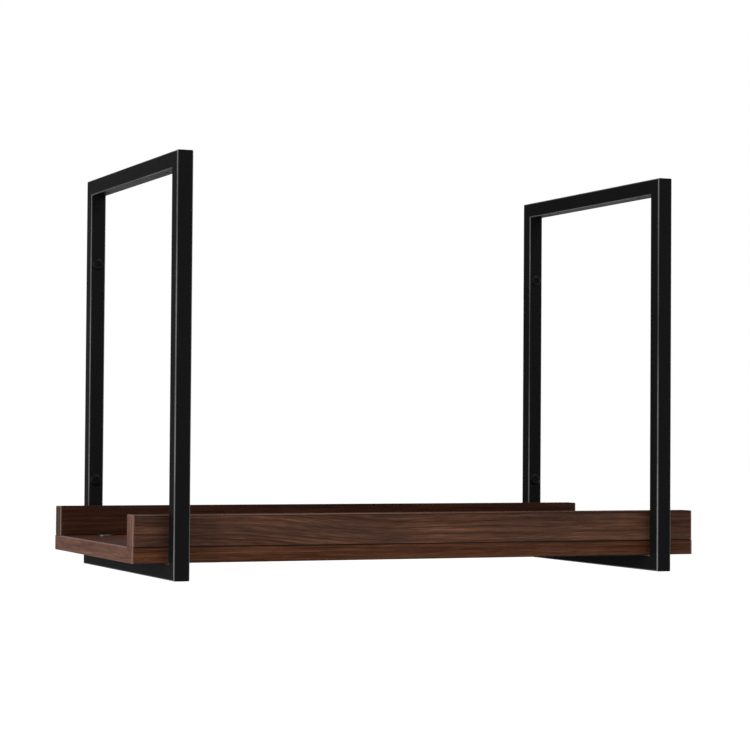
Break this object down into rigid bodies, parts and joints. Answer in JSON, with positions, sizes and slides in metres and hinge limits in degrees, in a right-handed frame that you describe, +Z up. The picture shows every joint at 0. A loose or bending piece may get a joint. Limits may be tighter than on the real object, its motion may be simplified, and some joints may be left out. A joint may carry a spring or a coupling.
{
  "type": "cat wall step",
  "caption": "Wall-mounted cat step: a long walnut-look tray, open at its ends with low rims front and rear, bolted inside upright rectangular loops of black square steel tube.",
  "frame": {"origin": "on the wall plane, in the middle of the rectangle of wall-screw holes in the rear posts", "axes": "+X along the wall towards the right-hand frame seen from the room, +Y into the wall, +Z up"},
  "size_m": [0.6, 0.3, 0.4],
  "materials": {
    "black_powder_coat": "satin",
    "walnut_laminate": "satin",
    "walnut_edge_band": "satin",
    "plated_steel": "satin",
    "beech": "matte"
  },
  "bodies": {
    "root": {"left_front_post": "black_powder_coat", "left_rear_post": "black_powder_coat", "left_bottom_rail": "black_powder_coat", "left_top_rail": "black_powder_coat", "right_front_post": "black_powder_coat", "right_rear_post": "black_powder_coat", "right_bottom_rail": "black_powder_coat", "right_top_rail": "black_powder_coat", "base_board": "walnut_laminate", "base_front_band": "walnut_laminate", "base_rear_band": "walnut_laminate", "base_left_band": "walnut_edge_band", "base_right_band": "walnut_edge_band", "front_rim": "walnut_laminate", "front_rim_top_band": "walnut_laminate", "front_rim_left_band": "walnut_edge_band", "front_rim_right_band": "walnut_edge_band", "rear_rim": "walnut_laminate", "rear_rim_top_band": "walnut_laminate", "rear_rim_left_band": "walnut_edge_band", "rear_rim_right_band": "walnut_edge_band", "rim_dowels": "beech", "rim_screws": "plated_steel", "tray_bolts": "plated_steel", "bottom_rail_nuts": "plated_steel", "top_rail_nuts": "black_powder_coat"}
  },
  "joints": []
}
